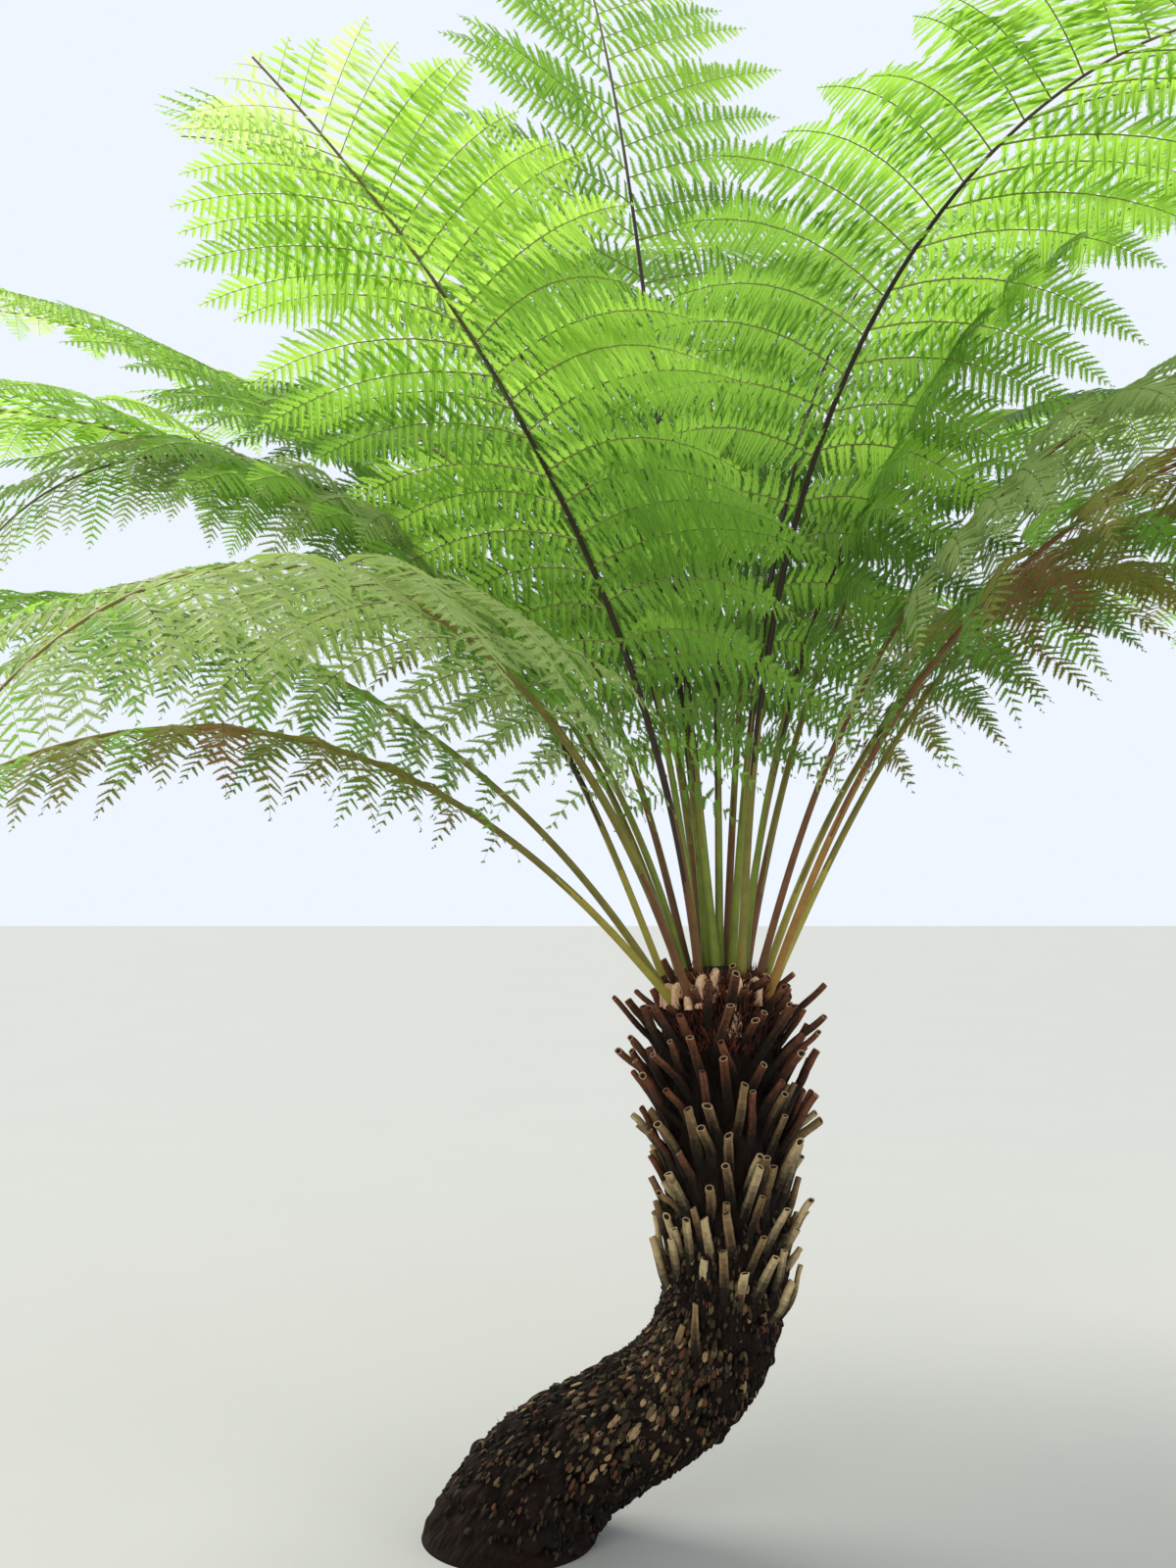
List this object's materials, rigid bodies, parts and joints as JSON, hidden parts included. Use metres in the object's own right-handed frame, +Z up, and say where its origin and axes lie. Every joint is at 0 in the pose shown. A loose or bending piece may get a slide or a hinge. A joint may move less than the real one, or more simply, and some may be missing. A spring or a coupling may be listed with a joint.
{
  "type": "tree fern",
  "caption": "Tree fern rooted in the ground: a trunk that leans and then turns upright, clad in stubs of old stalks, under a wide crown of arching feathery fronds.",
  "frame": {"origin": "middle of the flat cut under the trunk, at ground level", "axes": "+Z straight up, +X the way the trunk leans out of the ground before it turns upright, -Y towards the picture's viewer"},
  "size_m": [4.1485, 3.834, 4.0261],
  "materials": {
    "bark": "matte",
    "frond_young": "satin",
    "frond_green": "satin",
    "frond_old": "matte"
  },
  "bodies": {
    "root": {"trunk": "bark", "frond_01_lower": "frond_green", "frond_01_upper": "frond_green", "frond_02_lower": "frond_green", "frond_02_upper": "frond_green", "frond_03_lower": "frond_young", "frond_03_upper": "frond_young", "frond_04_lower": "frond_green", "frond_04_upper": "frond_green", "frond_05_lower": "frond_old", "frond_05_upper": "frond_old", "frond_06_lower": "frond_old", "frond_06_upper": "frond_old", "frond_07_lower": "frond_old", "frond_07_upper": "frond_old", "frond_08_lower": "frond_green", "frond_08_upper": "frond_green", "frond_09_lower": "frond_old", "frond_09_upper": "frond_old", "frond_10_lower": "frond_old", "frond_10_upper": "frond_old", "frond_11_lower": "frond_green", "frond_11_upper": "frond_green", "frond_12_lower": "frond_old", "frond_12_upper": "frond_old", "frond_13_lower": "frond_young", "frond_13_upper": "frond_young", "frond_14_lower": "frond_old", "frond_14_upper": "frond_old", "frond_15_lower": "frond_green", "frond_15_upper": "frond_green", "frond_16_lower": "frond_young", "frond_16_upper": "frond_young", "frond_17_lower": "frond_old", "frond_17_upper": "frond_old", "frond_18_lower": "frond_green", "frond_18_upper": "frond_green", "frond_19_lower": "frond_young", "frond_19_upper": "frond_young", "frond_20_lower": "frond_old", "frond_20_upper": "frond_old", "frond_21_lower": "frond_green", "frond_21_upper": "frond_green", "frond_22_lower": "frond_young", "frond_22_upper": "frond_young", "frond_23_lower": "frond_old", "frond_23_upper": "frond_old", "frond_24_lower": "frond_green", "frond_24_upper": "frond_green", "frond_25_lower": "frond_young", "frond_25_upper": "frond_young"}
  },
  "joints": []
}
